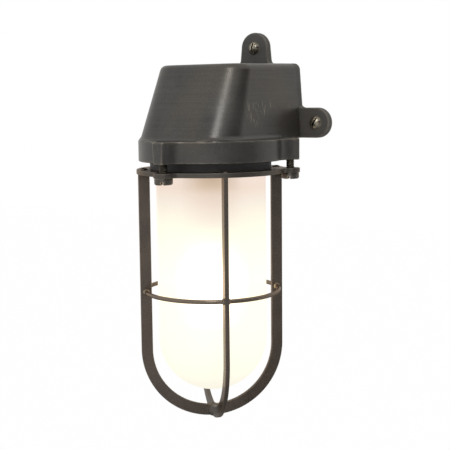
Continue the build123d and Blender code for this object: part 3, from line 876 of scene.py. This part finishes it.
def buildCageScrews(look):
    # cheese heads under the flange tabs, with a real thread on the shank
    low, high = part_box("cage_screw_front")
    headRadius = (high[0] - low[0]) / 2
    headHeight = flangeLow[2] - low[2]
    shankLength = high[2] - flangeLow[2]
    deselectAll()
    bpy.ops.mesh.primitive_cylinder_add(
        vertices=look["facets"], radius=headRadius, depth=headHeight, location=(0, 0, -headHeight / 2)
    )
    head = freeze()
    pickFaces(head, isFoot)
    bpy.ops.mesh.bevel(offset=look["footRound"], segments=look["footSegments"], affect="EDGES")
    leaveEdit()
    pickFaces(head, isTop)
    drawShank(headRadius - look["coreRadius"], shankLength)
    cutSlot(head, look["slotWidth"], 3 * headRadius, look["slotDepth"], -headHeight)
    softenEdges(head, look["edge"])
    thread = buildThread(look, shankLength)
    makeActive(head)
    thread.select_set(True)
    bpy.ops.object.join()
    for name, node, body, angle in look["places"]:
        low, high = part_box(node)
        spot = ((low[0] + high[0]) / 2, (low[1] + high[1]) / 2, flangeLow[2])
        screw = placedCopy(head, name, Matrix.Translation(spot) @ turned(angle, "Z"))
        dress(screw, body, "screw_bronze", screwBronze, shadedThreadBronze)
        for face in screw.data.polygons:
            face.material_index = int(face.center.z > flangeLow[2])  # the painted-shade thread finish above the head
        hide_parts(node)
    discard(head)


tenonHead = {
    "facets": (28, 18),
    "radii": (3.0 * mm, 2.4 * mm, 1.15 * mm),
    "sunk": 0.1 * mm,
    "rough": 0.12 * mm,
    "uniform": 0.4,
    "seed": 4,
    "smoothing": 0.5,
    "passes": 3,
}


def buildTenonHeads(look):
    # ends of the uprights, hammered over on top of the flange
    head = addBall(look["facets"], look["radii"])
    keepAbove(head, -look["sunk"])
    workByHand(head, look)
    for count, angle in enumerate(barAngles, start=1):
        place = onLampAxis(flangeHigh[2]) @ turned(angle, "Z") @ Matrix.Translation((ringRadius, 0, 0))
        piece = placedCopy(head, f"tenonHead{count}", place)
        dress(piece, "cage", "weathered_bronze", barBronze)
    discard(head)


rodBraze = {
    "facets": 36,
    "cuts": 3,
    "foot": 2.55 * mm,
    "height": 1.3 * mm,
    "overlap": 0.12 * mm,
    "barHalf": 1.5 * mm,
    "rough": 0.14 * mm,
    "uniform": 0.3,
    "seed": 9,
    "smoothing": 0.45,
    "passes": 2,
}


def buildRodBrazes(look):
    # collars of braze where the rod passes through an upright, one on each side of the bar
    deselectAll()
    bpy.ops.mesh.primitive_cone_add(
        vertices=look["facets"],
        radius1=look["foot"],
        radius2=rodRadius + look["overlap"],
        depth=look["height"],
        location=(0, 0, look["height"] / 2),
    )
    collar = freeze()
    pickFaces(collar, isSide)
    bpy.ops.mesh.subdivide(number_cuts=look["cuts"])
    leaveEdit()
    workByHand(collar, look)
    ends = [(angle, side) for angle in barAngles for side in (1, -1)]
    for count, (angle, side) in enumerate(ends, start=1):
        reach = Matrix.Translation((ringRadius, side * look["barHalf"], 0))
        place = onLampAxis(waistLevel) @ turned(angle, "Z") @ reach @ turned(-90 * side, "X")
        piece = placedCopy(collar, f"rodBraze{count}", place)
        dress(piece, "cage", "weathered_bronze", brazeBrass)
    discard(collar)


crossingBraze = {
    "facets": (32, 20),
    "radii": (4.9 * mm, 4.6 * mm, 5.0 * mm),
    "lift": 3.9 * mm,
    "turn": 45,
    "rough": 0.25 * mm,
    "uniform": 0.5,
    "seed": 2,
    "smoothing": 0.5,
    "passes": 4,
}


def buildCrossingBraze(look):
    # lump of braze under the half-lapped hoops
    lump = addBall(look["facets"], look["radii"])
    workByHand(lump, look)
    place = onLampAxis(hoopFoot + look["lift"]) @ turned(look["turn"], "Z")
    piece = placedCopy(lump, "crossingBraze", place)
    dress(piece, "cage", "weathered_bronze", jointBronze)
    discard(lump)


buildWallScrews(wallScrew)
print("wall screws in the lugs")
buildCageScrews(cageScrew)
print("cage screws under the flange")
buildTenonHeads(tenonHead)
buildRodBrazes(rodBraze)
buildCrossingBraze(crossingBraze)
print("tenon heads and braze on the cage")

# Studio
photoCamera = {
    "place": (0.3947, -0.6525, 0.0171),
    "azimuth": 33.13,
    "elevation": 7.154,
    "roll": -0.611,
    "lens": 79.59,
    "sensor": 36,
    "nearest": 0.01,
}


def buildCamera(look):
    deselectAll()
    bpy.ops.object.camera_add(location=look["place"])
    camera = bpy.context.object
    camera.name = "photoCamera"
    spot = Matrix.Translation(look["place"])
    tilt = turned(90 - look["elevation"], "X")
    camera.matrix_world = spot @ turned(look["azimuth"], "Z") @ tilt @ turned(look["roll"], "Z")
    camera.data.lens = look["lens"]
    camera.data.sensor_width = look["sensor"]
    camera.data.clip_start = look["nearest"]
    scene.camera = camera


def seenRays(tree):
    path = tree.nodes.new("ShaderNodeLightPath")
    seen = math2(tree, "MAXIMUM", path.outputs["Is Camera Ray"], path.outputs["Is Glossy Ray"])
    return math2(tree, "MAXIMUM", seen, path.outputs["Is Transmission Ray"])


studioWorld = {
    "fill": 0.85,
    "wallTowards": (0.0, 1.0, 0.0),
    "wallFade": ((0.25, 1.0), (0.85, 0.78)),
}


def buildWorld(look):
    world = bpy.data.worlds.new("studioWorld")
    scene.world = world
    world.use_nodes = True
    tree = world.node_tree
    tree.nodes.clear()
    link = tree.links.new
    fill = addNode(tree, "ShaderNodeBackground", in_Color=(1, 1, 1, 1), in_Strength=look["fill"])
    white = addNode(tree, "ShaderNodeBackground", in_Strength=1.0)
    # a duller wall behind, seen only in reflections
    towards = addNode(tree, "ShaderNodeVectorMath", operation="DOT_PRODUCT")
    link(tree.nodes.new("ShaderNodeTexCoord").outputs["Generated"], towards.inputs[0])
    towards.inputs[1].default_value = look["wallTowards"]
    surround = greyRamp(tree, towards.outputs["Value"], look["wallFade"])
    glossy = tree.nodes.new("ShaderNodeLightPath").outputs["Is Glossy Ray"]
    link(mixColour(tree, glossy, grey(1.0), surround), white.inputs["Color"])
    mix = mixShaders(tree, seenRays(tree), fill, white)
    link(mix.outputs[0], tree.nodes.new("ShaderNodeOutputWorld").inputs[0])


paleFloor = {
    "level": -1.2,
    "size": 16,
    "shade": 0.9,
    "glow": 0.98,  # share of plain white where the camera or a reflection sees it
}


def buildFloor(look):
    deselectAll()
    bpy.ops.mesh.primitive_plane_add(size=look["size"], location=(0, 0, look["level"]))
    floor = bpy.context.object
    floor.name = "paleFloor"
    material = newMaterial("paleFloor")
    tree = material.node_tree
    matt = addNode(tree, "ShaderNodeBsdfDiffuse", in_Color=opaque(grey(look["shade"])))
    glow = addNode(tree, "ShaderNodeEmission", in_Color=(1, 1, 1, 1), in_Strength=1.0)
    share = math2(tree, "MULTIPLY", seenRays(tree), look["glow"])
    showShader(tree, mixShaders(tree, share, matt, glow))
    floor.data.materials.append(material)


panels = (
    {
        "name": "lowFlag",
        "place": (1.0, -0.0655, -0.02),
        "tilt": 90,
        "level": 0.02,  # its own brightness
        "axes": "ZY",  # along its two sides, for the two values of size and cover
        "size": (1.4, 1.5),
        "cover": (
            (
                (-0.47, 1.0),
                (-0.36, 0.4),
                (-0.28, 0.25),
                (-0.18, 0.55),
                (-0.10, 1.0),
                (-0.02, 0.40),
                (0.08, 0.8),
                (0.22, 0.0),
            ),
            ((-0.72, 0.0), (-0.56, 1.0), (0.24, 1.0), (0.58, 0.0)),
        ),
    },
    {
        "name": "highFlag",
        "place": (1.03, -0.0655, -0.02),
        "tilt": 90,
        "level": 0.02,
        "axes": "ZY",
        "size": (1.4, 2.8),
        "cover": (
            ((0.0, 0.0), (0.16, 1.0), (0.50, 1.0), (0.66, 0.0)),
            ((-1.36, 0.0), (-1.0, 1.0), (0.80, 1.0), (1.3, 0.0)),
        ),
    },
    {
        "name": "dullTable",  # behind and below
        "place": (1.0, 3.0, -0.75),
        "tilt": 0,
        "level": 0.3,
        "axes": "XY",
        "size": (7.0, 8.0),
        "cover": (
            ((-3.5, 0.0), (-2.2, 1.0), (-0.6, 1.0), (0.6, 0.0)),
            ((-4.0, 0.0), (-3.2, 1.0)),
        ),
    },
)


def fadeAlong(tree, value, middle, length, stops):
    # cover along one axis of a panel, from stops measured from its middle
    along = between(tree, value, (middle - length / 2, middle + length / 2))
    return greyRamp(tree, along, [(place / length + 0.5, level) for place, level in stops])


def buildPanel(look):
    # a panel that is seen only in the metal's reflections, clear towards its edges
    deselectAll()
    turn = (0, math.radians(look["tilt"]), 0)
    bpy.ops.mesh.primitive_plane_add(size=1, location=look["place"], rotation=turn)
    bpy.context.object.scale = (*look["size"], 1)
    panel = freeze()
    panel.name = look["name"]
    panel.visible_camera = False
    panel.visible_diffuse = False
    panel.visible_transmission = False
    panel.visible_shadow = False
    material = newMaterial(look["name"])
    tree = material.node_tree
    outputs = objectAxes(tree)[1]
    fades = []
    for axis, length, stops in zip(look["axes"], look["size"], look["cover"]):
        middle = look["place"]["XYZ".index(axis)]
        fades.append(fadeAlong(tree, outputs[axis], middle, length, stops))
    dim = addNode(tree, "ShaderNodeEmission", in_Color=opaque(grey(look["level"])), in_Strength=1.0)
    clear = tree.nodes.new("ShaderNodeBsdfTransparent")
    showShader(tree, mixShaders(tree, math2(tree, "MULTIPLY", *fades), clear, dim))
    panel.data.materials.append(material)


keyStrip = {
    "azimuth": 34,
    "elevation": 40,
    "distance": 1.2,
    "target": (0.0, -0.065, -0.03),
    "size": (0.30, 0.5),
    "power": 3.35,
}


def buildKeyStrip(look):
    az, el = math.radians(look["azimuth"]), math.radians(look["elevation"])
    away = Vector((math.sin(az) * math.cos(el), -math.cos(az) * math.cos(el), math.sin(el)))
    deselectAll()
    bpy.ops.object.light_add(type="AREA", location=Vector(look["target"]) + away * look["distance"])
    lamp = bpy.context.object
    lamp.name = "keyStrip"
    lamp.rotation_euler = away.to_track_quat("Z", "Y").to_euler()
    lamp.data.shape = "RECTANGLE"
    lamp.data.size, lamp.data.size_y = look["size"]
    lamp.data.energy = look["power"]


buildCamera(photoCamera)
buildWorld(studioWorld)
buildFloor(paleFloor)
for panel in panels:
    buildPanel(panel)
buildKeyStrip(keyStrip)
print("studio ready")
